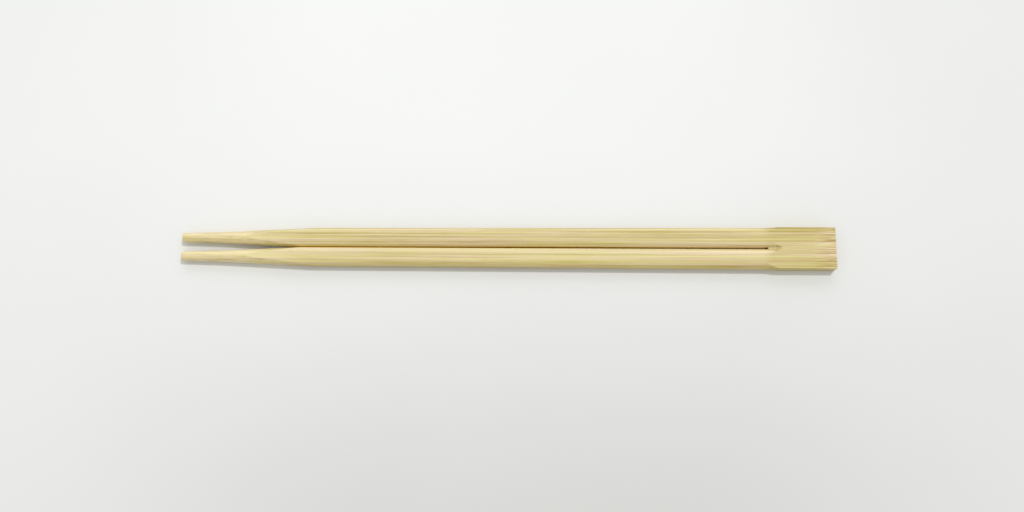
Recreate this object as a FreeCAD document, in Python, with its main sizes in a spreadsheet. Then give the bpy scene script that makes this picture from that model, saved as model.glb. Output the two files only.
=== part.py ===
import FreeCAD, Part
import math
import os
import Sketcher

# A pair of bamboo chopsticks, still joined. One flat slip of bamboo is cut to a plan, its long
# corners are milled round and its tips are turned, which leaves two sticks that hang together at
# a flat head. The pair is one solid. One half is built, then mirrored across the saw slit.
# X runs along the length, with the tips at -X and the head at +X. Y runs across the pair and
# +Z is up. The origin is at the middle of the footprint, on the surface that the pair lies on.

# Driving sizes in millimetres
SIZES = [
    ("overall_length", "210"),
    ("head_width", "13.4"),
    ("blank_thickness", "4.4"),
    ("side_flat_height", "1.9"),
    ("corner_radius", "2.2"),
    ("leg_width_at_tips", "5.92"),
    ("slit_width_at_head", "0.6"),
    ("slit_width_at_tips", "0.14"),
    ("edge_cut_stop", "22.8"),
    ("groove_overrun", "1.5"),
    ("slit_overrun", "1.15"),
    ("cutter_axis_height", "6"),
    ("tip_diameter", "3"),
    ("tip_edge_radius", "0.35"),
    ("nose_length", "13.5"),
    ("nose_root_diameter", "3.7"),
    ("taper_length", "43.5"),
    ("turning_clearance", "0.05"),
]
CUTTER_TURN = 90
FULL_TURN = 360

document = FreeCAD.newDocument("bamboo_chopsticks")
sheet = document.addObject("Spreadsheet::Sheet", "Sizes")
for row, (alias, number) in enumerate(SIZES, start=1):
    sheet.set("A{}".format(row), alias)
    sheet.set("B{}".format(row), number)
    sheet.setAlias("B{}".format(row), alias)
document.recompute()

# Places in the plan of one half, as expressions on the sheet
TIP_END = "(-Sizes.overall_length / 2)"
HEAD_END = "(Sizes.overall_length / 2)"
LEG_ROOT = "(Sizes.overall_length / 2 - Sizes.edge_cut_stop)"
SLIT_END = "({} + Sizes.slit_overrun)".format(LEG_ROOT)
GROOVE_STOP = "({} + Sizes.groove_overrun)".format(LEG_ROOT)
HEAD_SIDE = "(Sizes.head_width / 2)"
SLIT_SIDE_AT_HEAD = "(Sizes.slit_width_at_head / 2)"
SLIT_SIDE_AT_TIPS = "(Sizes.slit_width_at_tips / 2)"
OUTER_SIDE_AT_TIPS = "(Sizes.slit_width_at_tips / 2 + Sizes.leg_width_at_tips)"

# Both sides of a stick lean a little, so that it is slimmer at the tip than at the head
OUTER_SLOPE = "(({} - {}) / ({} - {}))".format(HEAD_SIDE, OUTER_SIDE_AT_TIPS, LEG_ROOT, TIP_END)
SLIT_SLOPE = "(({} - {}) / ({} - {}))".format(
    SLIT_SIDE_AT_HEAD, SLIT_SIDE_AT_TIPS, SLIT_END, TIP_END
)
SLIT_SIDE_AT_STOP = "({} + {} * ({} - {}))".format(
    SLIT_SIDE_AT_HEAD, SLIT_SLOPE, GROOVE_STOP, SLIT_END
)

# Heights are measured from the middle of the thickness until the finished pair is set down
TOP_FACE = "(Sizes.blank_thickness / 2)"
CUTTER_AXIS = "({} + Sizes.cutter_axis_height)".format(TOP_FACE)

# The milled round leaves the top face smoothly and meets the flat side of the stick at an edge
CORNER_RADIUS = "Sizes.corner_radius"
CORNER_DEPTH = "((Sizes.blank_thickness - Sizes.side_flat_height) / 2)"
CORNER_WIDTH = "sqrt({0} * (2 * {1} - {0}))".format(CORNER_DEPTH, CORNER_RADIUS)

# The tip is turned about the middle of the stick, out to where the taper clears its side edges
TIP_AXIS = "(({} + {}) / 2)".format(SLIT_SIDE_AT_TIPS, OUTER_SIDE_AT_TIPS)
TIP_RADIUS = "(Sizes.tip_diameter / 2)"
NOSE_ROOT_RADIUS = "(Sizes.nose_root_diameter / 2)"
SIDE_EDGE_OUT = "({} + {} * Sizes.taper_length - {})".format(
    OUTER_SIDE_AT_TIPS, OUTER_SLOPE, TIP_AXIS
)
SIDE_EDGE_UP = "(Sizes.side_flat_height / 2)"
TAPER_ROOT_RADIUS = "(sqrt({0} * {0} + {1} * {1}) + Sizes.turning_clearance)".format(
    SIDE_EDGE_OUT, SIDE_EDGE_UP
)


def size_of(expression):
    """The value that an expression on the sheet has now."""
    return float(sheet.evalExpression(expression))


def origin_plane(body, role):
    """One of the body's own origin planes, such as XY_Plane."""
    return next(plane for plane in body.Origin.OriginFeatures if plane.Role == role)


def new_sketch(body, name, role, offset):
    """A sketch on an origin plane, moved by expressions along the plane's own x, y and normal."""
    sketch = body.newObject("Sketcher::SketchObject", name)
    sketch.AttachmentSupport = (origin_plane(body, role), [""])
    sketch.MapMode = "FlatFace"
    for axis, expression in offset.items():
        sketch.setExpression("AttachmentOffset.Base." + axis, expression)
    return sketch


def bind(sketch, kind, references, expression):
    """Add a dimension to a sketch and tie it to an expression on the sheet."""
    index = sketch.addConstraint(Sketcher.Constraint(kind, *references, size_of(expression)))
    name = "{}_{}".format(kind.lower(), index)
    sketch.renameConstraint(index, name)
    sketch.setExpression("Constraints." + name, expression)


def arc_between(start, finish, radius, side):
    """An arc from start to finish, counter-clockwise as a sketch wants it.

    side is 1 where the arc bulges to the left of the way from start to finish, and -1 where
    it bulges to the right. The second result says which end of the arc is which corner.
    """
    chord = finish - start
    left = FreeCAD.Vector(-chord.y, chord.x, 0).normalize()
    sagitta_side = side * math.sqrt(radius ** 2 - (chord.Length / 2) ** 2)
    centre = (start + finish) * 0.5 - left * sagitta_side
    first, last = (finish, start) if side == 1 else (start, finish)
    first_angle = math.atan2(first.y - centre.y, first.x - centre.x)
    last_angle = math.atan2(last.y - centre.y, last.x - centre.x)
    circle = Part.Circle(centre, FreeCAD.Vector(0, 0, 1), radius)
    return Part.ArcOfCircle(circle, first_angle, last_angle), (2, 1) if side == 1 else (1, 2)


def draw_outline(sketch, corners, arcs):
    """Draw a closed outline with every corner tied to the sheet.

    corners holds an expression for x and one for y. arcs holds, for the number of a corner,
    the radius and side of the arc that leaves it, and every other edge is straight.
    """
    points = [FreeCAD.Vector(size_of(x), size_of(y), 0) for x, y in corners]
    edges = []
    for number, start in enumerate(points):
        finish = points[(number + 1) % len(points)]
        if number in arcs:
            radius, side = arcs[number]
            shape, ends = arc_between(start, finish, size_of(radius), side)
        else:
            shape, ends = Part.LineSegment(start, finish), (1, 2)
        edges.append((sketch.addGeometry(shape, False), ends))
    for number, (edge, (first, _)) in enumerate(edges):
        before, (_, last) = edges[number - 1]
        sketch.addConstraint(Sketcher.Constraint("Coincident", before, last, edge, first))
    for (x, y), (edge, (first, _)) in zip(corners, edges):
        bind(sketch, "DistanceX", (-1, 1, edge, first), x)
        bind(sketch, "DistanceY", (-1, 1, edge, first), y)
    for number, (radius, _) in arcs.items():
        bind(sketch, "Radius", (edges[number][0],), radius)


def cut_blank(body):
    """Half of the slip of bamboo in plan: one stick, and half of the head beyond the slit."""
    sketch = new_sketch(body, "half_plan", "XY_Plane", {})
    corners = [
        (TIP_END, SLIT_SIDE_AT_TIPS),
        (SLIT_END, SLIT_SIDE_AT_HEAD),
        (SLIT_END, "0"),
        (HEAD_END, "0"),
        (HEAD_END, HEAD_SIDE),
        (LEG_ROOT, HEAD_SIDE),
        (TIP_END, OUTER_SIDE_AT_TIPS),
    ]
    draw_outline(sketch, corners, {})
    blank = body.newObject("PartDesign::Pad", "half_blank")
    blank.Profile = (sketch, [""])
    blank.Midplane = True
    blank.setExpression("Length", "Sizes.blank_thickness")


def mill_corner(body, name, stop, wall, slope, side):
    """Round one long top corner with a cutter that spins about an axis across the stick.

    The waste is drawn square to the stick's side, where the cutter stopped, and the sketch's
    own x axis is the axis of the cutter. side is 1 for the outer corner and -1 at the slit.
    The pass runs out through the tip, and the round cutter leaves a hollow run-out at its stop.
    """
    place = {"z": stop, "x": wall, "y": CUTTER_AXIS}
    waste = new_sketch(body, name + "_waste", "YZ_Plane", place)
    waste.AttachmentOffset = FreeCAD.Placement(
        FreeCAD.Vector(), FreeCAD.Rotation(FreeCAD.Vector(0, 1, 0), 1)
    )
    waste.setExpression("AttachmentOffset.Rotation.Angle", "atan({})".format(slope))
    inwards, outwards = ("-", "") if side == 1 else ("", "-")
    face = "-Sizes.cutter_axis_height"
    depth = "-(Sizes.cutter_axis_height + {})".format(CORNER_DEPTH)
    above = "-Sizes.cutter_axis_height / 2"
    corners = [
        (inwards + CORNER_WIDTH, face),
        ("0", depth),
        (outwards + CORNER_WIDTH, depth),
        (outwards + CORNER_WIDTH, above),
        (inwards + CORNER_WIDTH, above),
    ]
    draw_outline(waste, corners, {0: (CORNER_RADIUS, side)})
    milled = body.newObject("PartDesign::Pocket", name + "_pass")
    milled.Profile = (waste, [""])
    milled.Type = "ThroughAll"
    run_out = body.newObject("PartDesign::Groove", name + "_run_out")
    run_out.Profile = (waste, [""])
    run_out.ReferenceAxis = (waste, ["H_Axis"])
    run_out.Angle = CUTTER_TURN
    run_out.Reversed = True
    return [milled, run_out]


def mill_underside(body, passes):
    """The same passes on the underside, mirrored in the middle of the thickness."""
    underside = body.newObject("PartDesign::Mirrored", "underside_corners")
    underside.Originals = passes
    underside.MirrorPlane = (origin_plane(body, "XY_Plane"), [""])
    body.Tip = underside
    return underside


def turn_tip(body):
    """The round tip: an eased end, a slender nose and a steeper taper into the stick."""
    sketch = new_sketch(body, "tip_profile", "XY_Plane", {"x": TIP_END, "y": TIP_AXIS})
    end_face = "({} - Sizes.tip_edge_radius)".format(TIP_RADIUS)
    clear = "({} + Sizes.corner_radius)".format(TAPER_ROOT_RADIUS)
    corners = [
        ("0", end_face),
        ("Sizes.tip_edge_radius", TIP_RADIUS),
        ("Sizes.nose_length", NOSE_ROOT_RADIUS),
        ("Sizes.taper_length", TAPER_ROOT_RADIUS),
        ("Sizes.taper_length", clear),
        ("-Sizes.corner_radius", clear),
        ("-Sizes.corner_radius", end_face),
    ]
    draw_outline(sketch, corners, {0: ("Sizes.tip_edge_radius", 1)})
    tip = body.newObject("PartDesign::Groove", "tip")
    tip.Profile = (sketch, [""])
    tip.ReferenceAxis = (sketch, ["H_Axis"])
    tip.Angle = FULL_TURN
    return tip


def build_pair():
    """The half from head to tip, mirrored across the slit and set down on its underside."""
    body = document.addObject("PartDesign::Body", "chopstick_pair")
    body.Label = "chopstick_pair"
    cut_blank(body)
    passes = mill_corner(body, "outer_corner", LEG_ROOT, HEAD_SIDE, OUTER_SLOPE, 1)
    passes += mill_corner(body, "slit_corner", GROOVE_STOP, SLIT_SIDE_AT_STOP, SLIT_SLOPE, -1)
    cuts = passes + [mill_underside(body, passes), turn_tip(body)]
    document.recompute()
    pair = body.newObject("PartDesign::Mirrored", "pair")
    pair.TransformMode = "Whole shape"
    pair.MirrorPlane = (origin_plane(body, "XZ_Plane"), [""])
    pair.Refine = True
    body.Tip = pair
    body.setExpression("Placement.Base.z", TOP_FACE)
    document.recompute()
    return body, cuts


def check_features(cuts):
    """Stop where an object failed, or where a cut took nothing off its base."""
    for item in document.Objects:
        if "Invalid" in item.State or "Error" in item.State:
            raise RuntimeError("{} failed: {}".format(item.Name, item.State))
    for cut in cuts:
        taken = cut.BaseFeature.Shape.Volume - cut.Shape.Volume
        if taken <= 0:
            raise RuntimeError("{} cut nothing".format(cut.Name))
        print("{} took off {:.2f} cubic mm".format(cut.Name, taken))


def write_part(body):
    """Check the finished solid and write it under its own name."""
    shape = body.Shape
    if shape.isNull() or not shape.isValid() or len(shape.Solids) != 1:
        raise RuntimeError("{} is not one sound solid".format(body.Label))
    os.makedirs("parts", exist_ok=True)
    shape.exportStep(os.path.join("parts", body.Label + ".step"))
    print("{}: {:.1f} cubic mm".format(body.Label, shape.Volume))


chopstick_pair, waste_cuts = build_pair()
check_features(waste_cuts)
write_part(chopstick_pair)
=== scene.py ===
# %% [markdown]
# # A pair of bamboo chopsticks, still joined
# This lesson dresses a finished solid model so that it looks like raw, dry bamboo lying on a
# white table. The shape comes from a CAD model, which is loaded first and stays as it is. What is
# left to do here is the bamboo itself, the table, the light and the camera. Lengths are in metres:
# X runs along the sticks with the tips at -X, Y runs across the pair, and Z is up.

# %% Load the solid model
import math

import bpy
from mathutils import Matrix, Vector

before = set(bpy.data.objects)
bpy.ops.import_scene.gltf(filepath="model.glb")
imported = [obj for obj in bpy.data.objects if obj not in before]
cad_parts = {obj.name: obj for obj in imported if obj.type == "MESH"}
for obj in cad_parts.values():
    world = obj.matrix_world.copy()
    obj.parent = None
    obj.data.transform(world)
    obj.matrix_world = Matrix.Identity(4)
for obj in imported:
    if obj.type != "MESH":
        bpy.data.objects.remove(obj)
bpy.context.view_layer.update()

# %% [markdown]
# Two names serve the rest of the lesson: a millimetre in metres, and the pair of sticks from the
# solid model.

MM = 0.001
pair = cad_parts["chopstick_pair"]

# %% [markdown]
# A material in Blender is a web of nodes, and a web is easier to read as a sum. A Wire holds one
# output of a node. Adding, subtracting or multiplying wires places a Math node, and every other
# node comes from the node method, which first sets the node's options and then feeds its inputs.
# Two kinds of node are wanted so often that they get a method: a soft step from 0 to 1, and a mix
# of two colours.

# %% Shader sums
class Wire:
    """One output of a shader node, which can be used in a sum like a number."""

    def __init__(self, tree, socket=None):
        self.tree = tree
        self.socket = socket

    def node(self, kind, output, options, inputs):
        """Add a node of that kind and give back one of its outputs."""
        made = self.tree.nodes.new(kind)
        for option, choice in options.items():
            setattr(made, option, choice)
        for name, feed in inputs.items():
            if isinstance(feed, Wire):
                self.tree.links.new(feed.socket, made.inputs[name])
            else:
                made.inputs[name].default_value = feed
        return Wire(self.tree, made.outputs[output])

    def math(self, operation, *numbers):
        """A Math node that starts with this wire."""
        inputs = dict(enumerate((self, *numbers)))
        return self.node("ShaderNodeMath", 0, {"operation": operation}, inputs)

    def __add__(self, other):
        return self.math("ADD", other)

    def __sub__(self, other):
        return self.math("SUBTRACT", other)

    def __mul__(self, other):
        return self.math("MULTIPLY", other)

    __radd__ = __add__

    def __rsub__(self, other):
        return self.node("ShaderNodeMath", 0, {"operation": "SUBTRACT"}, {0: other, 1: self})

    def ramp(self, start, end):
        """0 up to start, 1 from end, and a smooth rise between. start may be the larger."""
        inputs = {"Value": self, "From Min": start, "From Max": end}
        return self.node("ShaderNodeMapRange", 0, {"interpolation_type": "SMOOTHSTEP"}, inputs)

    def tint(self, first, second):
        """The first colour where this wire is 0 and the second where it is 1."""
        inputs = {0: self, 6: first, 7: second}
        return self.node("ShaderNodeMix", 2, {"data_type": "RGBA"}, inputs)


# %% [markdown]
# Each material starts empty, with a Principled shader wired to the output. The shader is handed
# back as well, so that every finish can be plugged into it by name.

# %% An empty material
def new_material(name):
    """An empty material, its first wire and the Principled shader that it shows."""
    material = bpy.data.materials.new(name)
    material.use_nodes = True
    tree = material.node_tree
    tree.nodes.clear()
    surface = tree.nodes.new("ShaderNodeBsdfPrincipled")
    output = tree.nodes.new("ShaderNodeOutputMaterial")
    tree.links.new(surface.outputs[0], output.inputs["Surface"])
    return material, Wire(tree), surface


# %% [markdown]
# Bamboo is a bundle of straight fibres in softer, paler pith, and the fibres run right through the
# stick. A picture wrapped round the outside would show a seam and would stretch over the tapers.
# So the grain is a solid pattern instead: each point of the surface asks what the wood is like at
# its own place in the stick. The places are read in millimetres, along the sticks and across.

# %% A place in the wood
def part_of(vector, name):
    """The X, Y or Z part of a vector."""
    return vector.node("ShaderNodeSeparateXYZ", name, {}, {0: vector})


bamboo, start, bamboo_surface = new_material("raw bamboo")
place = start.node("ShaderNodeTexCoord", "Object", {}, {})
place_mm = start.node("ShaderNodeVectorMath", 0, {"operation": "SCALE"}, {0: place, "Scale": 1 / MM})
along = part_of(place_mm, "X")
across = part_of(place_mm, "Y")

# %% [markdown]
# One noise, drawn out along X, makes one layer of grain. The real wood shows several at once:
# broad bands where the cane was denser, bundles of fibres about half a millimetre wide, single
# fibres, and hairs that can only just be seen. Each layer is shifted to its own part of the noise,
# or all the layers would have their dark places together. Where a taper or a groove cuts through
# the layers they open out into long arches by themselves, and on the sawn end they show as dots.

# %% Four layers of grain
def grain(length, width, shift, detail):
    """Noise from 0 to 1 whose streaks are about this long and wide in millimetres."""
    squeezed = start.node(
        "ShaderNodeVectorMath",
        0,
        {"operation": "MULTIPLY_ADD"},
        {0: place_mm, 1: (1 / length, 1 / width, 1 / width), 2: (shift, shift * 2, shift * 3)},
    )
    inputs = {"Vector": squeezed, "Scale": 1.0, "Detail": detail, "Roughness": 0.6}
    return start.node("ShaderNodeTexNoise", 0, {}, inputs)


broad = grain(120, 2.6, 3.1, 1.0)
bundles = grain(90, 0.62, 11.7, 1.0)
fibres = grain(26, 0.22, 23.9, 2.0)
hairs = grain(7, 0.11, 37.3, 2.0)
print("Four layers of grain, from 2.6 mm bands down to 0.1 mm hairs")

# %% [markdown]
# The eye also picks out a few darker strands that keep their place from the head almost to the
# tips. Each is a soft line at its own distance from the middle. A slow noise makes the lines
# wander a little and another lets them come and go, because a strand that is perfectly straight
# and even looks printed. In the photograph they are stronger on the head.

# %% Strands that run the whole length
STRANDS = [
    # place across in mm, half width in mm, strength
    (6.35, 0.30, 0.20),
    (5.25, 0.30, 0.42),
    (4.20, 0.34, 0.36),
    (3.00, 0.28, 0.24),
    (2.20, 0.30, 0.30),
    (1.45, 0.26, 0.14),
    (-1.80, 0.26, 0.26),
    (-3.50, 0.34, 0.24),
    (-4.60, 0.34, 0.26),
    (-5.90, 0.34, 0.26),
]
wander = (grain(60, 8, 51.3, 1.0) - 0.5) * 0.5
fading = grain(34, 1.2, 61.9, 2.0).ramp(0.3, 0.62)
strands = 0.0
for middle, half_width, strength in STRANDS:
    distance = (across + wander - middle).math("ABSOLUTE")
    strands = distance.ramp(half_width, 0.0) * strength + strands
strands = strands * (fading * 0.75 + 0.25) * (along.ramp(80.5, 86.0) * 0.9 + 1.0)
print(len(STRANDS), "strands")

# %% [markdown]
# Next come masks, which are 1 where the wood is different and 0 elsewhere. The photograph shows ochre
# along both edges of the head, most of all the far one, and along the near edge of the near stick. In
# a cane the dense, darker fibres lie next to the skin, so the edges are treated as the skin side
# here, which is a guess. The far stick's flat side doesn't show at all, and its ochre is made up. The
# near stick is palest beside the slit, where its shoulder faces the lamps, and that paleness is a
# painted highlight.

# %% The head and the skin side
on_head = along.ramp(81.0, 85.0)
skin_on_head = (across.ramp(3.8, 6.2) * 1.6 + across.ramp(-3.6, -6.6)) * on_head
far_stick = across.ramp(0.2, 0.6) * 0.2 + across.ramp(0.5, 6.2) * 0.4 + across.ramp(6.3, 6.7) * 0.5
skin_on_stick = (across.ramp(-3.4, -6.2) + far_stick) * (1.0 - on_head)
# painted highlight: the near stick made paler beside the slit, where its shoulder faces the lamps
painted_highlight_by_slit = across.ramp(-3.6, -1.4) * across.ramp(0.1, -0.2) * (1.0 - on_head)

# %% [markdown]
# The last few millimetres of the head look frayed, as a coarse saw would leave them, so short
# streaks stand out there. The round tips are a little paler than the rest.

# %% The saw cut and the turned tips
near_saw_cut = along.ramp(96.5, 104.0)
frayed = (grain(9, 0.25, 71.7, 1.0) - 0.5) * near_saw_cut
turned = along.ramp(-62.0, -92.0)
print("The frayed end starts 8.5 mm from the head's end, the turned tips 43 mm from theirs")

# %% [markdown]
# The slit shows as a thin brown line with a dark spot at its end. Its walls can't be seen, so their
# colours are chosen by trial until the line has the right brown: a lighter one towards the head,
# where the slit is wider and more light is lost in it, which is painted light, and a darker one at
# the very end, which is painted shade.

# %% The slit
in_slit = across.math("ABSOLUTE").ramp(0.42, 0.22) * along.ramp(83.9, 83.4)
wide_slit = along.ramp(20.0, 76.0)
slit_end = along.ramp(82.4, 83.1)

# %% [markdown]
# Everything so far goes into one number, the depth of colour: low is pale pith, high is a dense
# brown bundle. A noise has 0.5 as its middle, so taking 0.5 away lets a layer lighten the wood as
# much as it darkens it. Keeping one number makes the balance easy to change: each line is one
# cause, and its last factor says how much it counts. On the turned tips the cut crosses the
# fibres at a slant, so the fine layers count for more there.

# %% Depth of colour
depth = (
    0.18
    + (broad - 0.5) * 0.8
    + (bundles - 0.5) * (1.6 + turned)
    + (fibres - 0.5) * (1.3 + turned * 2.2)
    + (hairs - 0.5) * (0.7 + turned * 1.8)
    + strands
    - turned * 0.22
    + on_head * 0.20
    + skin_on_head * 0.26
    + skin_on_stick * 0.30
    # the painted highlight beside the slit makes the wood paler there
    - painted_highlight_by_slit * 0.24
    + frayed * 4.6
)

# %% [markdown]
# Colours are easiest to pick from a screen, as three numbers up to 255, but a shader works with
# light, which isn't in step with those numbers. This helper turns one into the other.

# %% A colour as picked on a screen
def paint(red, green, blue):
    """A screen colour, 0 to 255 for each part, as the linear values of a shader."""
    steps = [value / 255 for value in (red, green, blue)]
    linear = [((step + 0.055) / 1.055) ** 2.4 if step > 0.04045 else step / 12.92 for step in steps]
    return (*linear, 1.0)


# %% [markdown]
# Dry bamboo isn't one hue that gets darker. Some bundles lean to green and yellow, others to
# pink, and both turn to ochre where they are dense. So the depth runs between two pairs of colours,
# and a separate noise chooses the pair. The skin side leans to the yellow pair, and the torn
# fibres at the saw cut to the pink one. Short dark flecks stand for the cut ends of single fibres.

# %% The colour of the bamboo
PALE_YELLOW = paint(214, 203, 137)
PALE_PINK = paint(222, 203, 165)
OCHRE_YELLOW = paint(166, 146, 46)
OCHRE_BROWN = paint(166, 134, 62)
FLECK = paint(150, 118, 60)

hue = grain(42, 0.8, 97.7, 2.0).ramp(0.34, 0.66)
warmth = hue * (1.0 - skin_on_head * 0.5) + near_saw_cut * 0.4
pale = warmth.tint(PALE_YELLOW, PALE_PINK)
ochre = warmth.tint(OCHRE_YELLOW, OCHRE_BROWN)
flesh = depth.ramp(-0.35, 1.25).tint(pale, ochre)
fleck_spots = grain(3.2, 0.13, 83.1, 1.0).ramp(0.70, 0.80) * 0.5
flecked = fleck_spots.tint(flesh, FLECK)

# %% [markdown]
# The last two colours lie over the grain like a thin wash: a pale one on the turned tips and a brown
# one in the slit, which carries painted light towards the head and painted shade at its end. A wash
# is never laid on at full strength, so the grain still shows.

# %% The washes over the grain
TURNED_PALE = paint(234, 217, 172)
SAWN_BROWN = paint(216, 180, 48)
# painted light: a lighter colour for the slit walls towards the head, where more light is lost
SLIT_PAINTED_LIGHT = paint(250, 216, 158)
# painted shade: a darker colour for the deep end of the slit
SLIT_END_PAINTED_SHADE = paint(168, 96, 52)

turned_colour = (turned * 0.42).tint(flecked, TURNED_PALE)
# the sawn brown of the slit walls, with painted light towards the head
slit_tone_and_painted_light = wide_slit.tint(SAWN_BROWN, SLIT_PAINTED_LIGHT)
slit_colour = slit_end.tint(slit_tone_and_painted_light, SLIT_END_PAINTED_SHADE)
colour = (in_slit * 0.85).tint(turned_colour, slit_colour)

# %% [markdown]
# The photograph shows a satin surface that looks unvarnished. Hard fibres should shine a little more
# than the pith between them, so the roughness follows the fibres. They also stand a hair proud, which
# a bump shows well enough: at a tenth of a millimetre, real ridges would cost many triangles and
# look the same.

# %% Bamboo sheen and touch
shine = 0.52 - (fibres - 0.5) * 0.25 + frayed * 0.3
relief = (bundles * 0.4 + fibres * 0.4 + hairs * 0.2) + frayed * 1.2
bump_inputs = {"Strength": 0.35, "Distance": 0.00012, "Height": relief}
bump = start.node("ShaderNodeBump", 0, {}, bump_inputs)

# %% [markdown]
# Now the finished wires are plugged into the shader, and the material takes the place of the plain
# one that the solid model came with.

# %% Put the bamboo on the sticks
bamboo_tree = bamboo.node_tree
bamboo_tree.links.new(colour.socket, bamboo_surface.inputs["Base Color"])
bamboo_tree.links.new(shine.socket, bamboo_surface.inputs["Roughness"])
bamboo_tree.links.new(bump.socket, bamboo_surface.inputs["Normal"])
bamboo_surface.inputs["IOR"].default_value = 1.5
for slot in pair.material_slots:
    slot.material = bamboo
print("The bamboo material has", len(bamboo_tree.nodes), "nodes")

# %% [markdown]
# The table is a plain white laminate, wide enough to fill the picture. Its top lies a fiftieth of
# a millimetre under the sticks, so that the two surfaces don't flicker where they touch.

# %% The table top
bpy.ops.object.select_all(action="DESELECT")
bpy.ops.mesh.primitive_plane_add(size=4.0, location=(0.0, 0.0, -0.02 * MM))
table = bpy.context.object
table.name = "white table"

# %% [markdown]
# In the photograph the table is brightest on the far side and falls off towards the viewer and
# towards both ends. That slow fall-off of light is painted into its colour as painted shade, so that
# the light can be chosen for the sticks alone. A faint cloudiness keeps it from being perfectly even.

# %% The white laminate
laminate, start_table, laminate_surface = new_material("white laminate")
spot = start_table.node("ShaderNodeTexCoord", "Object", {}, {})
towards_viewer = part_of(spot, "Y").ramp(0.045, -0.11)
from_middle = part_of(spot, "X").math("ABSOLUTE").ramp(0.04, 0.17)
sideways = part_of(spot, "X").ramp(-0.17, 0.17)
cloud_inputs = {"Vector": spot, "Scale": 18.0, "Detail": 3.0, "Roughness": 0.5}
clouds = start_table.node("ShaderNodeTexNoise", 0, {}, cloud_inputs)
# painted shade: darker towards the viewer, towards both ends and to the right
shade = (
    towards_viewer * (0.9 - from_middle * 0.65)
    + from_middle * 0.22
    + sideways * 0.22
    + (clouds - 0.5) * 0.12
    + 0.03
)
table_colour = shade.tint((0.84, 0.85, 0.835, 1.0), (0.61, 0.615, 0.595, 1.0))
laminate.node_tree.links.new(table_colour.socket, laminate_surface.inputs["Base Color"])
laminate_surface.inputs["Roughness"].default_value = 0.6
laminate_surface.inputs["Specular IOR Level"].default_value = 0.2
table.data.materials.append(laminate)
print("The table is", table.dimensions.x, "m wide")

# %% [markdown]
# The narrow shadow along the near edge hints at where the main lamp stood: high up, a little to the
# far side and to the right. Lamps this far away, 4 to 5 m, light both ends of the sticks alike.
# A wide panel on the far side fills the far shoulders softly. The strengths were tuned until bands
# along the sticks had about the brightness that they have in the photograph.

# %% Lamps
def panel(name, direction, distance, width, height, watts):
    """A flat lamp that faces the middle of the sticks from a direction."""
    lamp = bpy.data.lights.new(name, "AREA")
    lamp.shape = "RECTANGLE"
    lamp.size = width
    lamp.size_y = height
    lamp.energy = watts
    holder = bpy.data.objects.new(name, lamp)
    bpy.context.scene.collection.objects.link(holder)
    aim = Vector(direction).normalized()
    holder.location = aim * distance
    holder.rotation_euler = aim.to_track_quat("Z", "Y").to_euler()
    return holder


panel("lamp", (0.30, 0.33, 1.0), 5.0, 0.36, 0.36, 92.0)
panel("far panel", (0.0, 1.0, 0.75), 4.0, 3.4, 1.6, 22.0)

# %% [markdown]
# The rounded far shoulders carry a faint sheen, as if they reflected a bright wall or window. This
# panel plays that part. It is only seen in reflections: its diffuse light is switched off, which no
# real lamp could do, or it would brighten the table too.

# %% The sheen
sheen = panel("sheen panel", (0.0, 1.0, 0.42), 4.0, 3.4, 1.8, 175.0)
sheen.visible_diffuse = False

# %% [markdown]
# Most of the light is a soft white glow from all round, as in a bright room. It keeps the shadows
# pale and the side faces readable.

# %% The glow of the room
world = bpy.data.worlds.new("soft room")
bpy.context.scene.world = world
world.use_nodes = True
world.node_tree.nodes["Background"].inputs["Color"].default_value = (1.0, 1.0, 1.0, 1.0)
world.node_tree.nodes["Background"].inputs["Strength"].default_value = 0.71

# %% [markdown]
# The camera looks down almost straight, from the near side. Its tilt, its slight roll and its
# distance were worked out from where the ends and edges of the sticks lie in the photograph, and
# the distance was then corrected a little on a render.
# Three directions describe how it is held: where it looks, what is up and what is right. They
# become the columns of its matrix, with the look direction turned round, because a camera in
# Blender looks along its own -Z.

# %% Camera
TILT = math.radians(11.872)
ROLL = math.radians(0.218)
DISTANCE = 0.386080
AIM = Vector((1.10, -2.625, 2.2)) * MM

forward = Vector((0.0, math.sin(TILT), -math.cos(TILT)))
level_up = Vector((0.0, math.cos(TILT), math.sin(TILT)))
level_right = Vector((1.0, 0.0, 0.0))
right = level_right * math.cos(ROLL) + level_up * math.sin(ROLL)
up = level_up * math.cos(ROLL) - level_right * math.sin(ROLL)

lens = bpy.data.cameras.new("camera")
lens.sensor_width = 36.0
lens.lens = 42.1875
lens.clip_start = 0.01
camera = bpy.data.objects.new("camera", lens)
bpy.context.scene.collection.objects.link(camera)
turn = Matrix((right, up, -forward)).transposed().to_4x4()
camera.matrix_world = Matrix.Translation(AIM - forward * DISTANCE) @ turn
bpy.context.scene.camera = camera
print("The camera stands", round(DISTANCE / MM), "mm from the sticks")

# %% [markdown]
# The Standard view shows the colours as they were picked. A filmic view would grey the white table.

# %% View
bpy.context.scene.view_settings.view_transform = "Standard"
